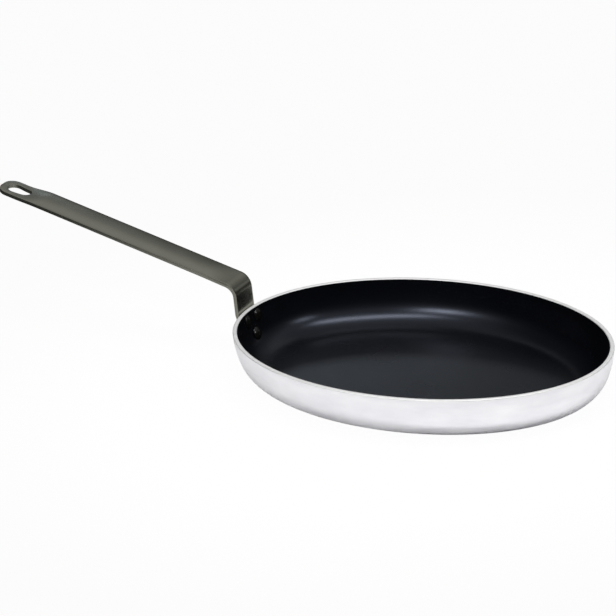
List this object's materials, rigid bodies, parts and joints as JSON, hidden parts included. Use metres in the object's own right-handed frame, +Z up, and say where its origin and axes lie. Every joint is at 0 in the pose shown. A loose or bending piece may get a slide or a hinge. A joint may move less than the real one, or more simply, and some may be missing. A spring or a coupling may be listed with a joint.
{
  "type": "fish pan",
  "caption": "Shallow oval frying pan with a bowed aluminium wall, dark non-stick lining and one long cranked strip handle riveted at its end, pierced to hang.",
  "frame": {"origin": "centre of the pan's flat underside", "axes": "+Z up out of the pan, X along the oval's long axis with the handle leaving the -X end, Y across the pan"},
  "size_m": [0.6192, 0.2758, 0.1363],
  "materials": {
    "pan_aluminium": "fine satin, with a bright turned rim",
    "nonstick_coat": "smooth semi-gloss non-stick coat",
    "handle_coat": "satin grey baked coat on strip steel",
    "rivet_coat": "semi-gloss dark coat on the domes, bare metal on the closed heads"
  },
  "bodies": {
    "root": {"pan_body": "pan_aluminium", "nonstick_lining": "nonstick_coat", "handle": "handle_coat", "rivet_upper_near": "rivet_coat", "rivet_upper_far": "rivet_coat", "rivet_lower": "rivet_coat"}
  },
  "joints": []
}
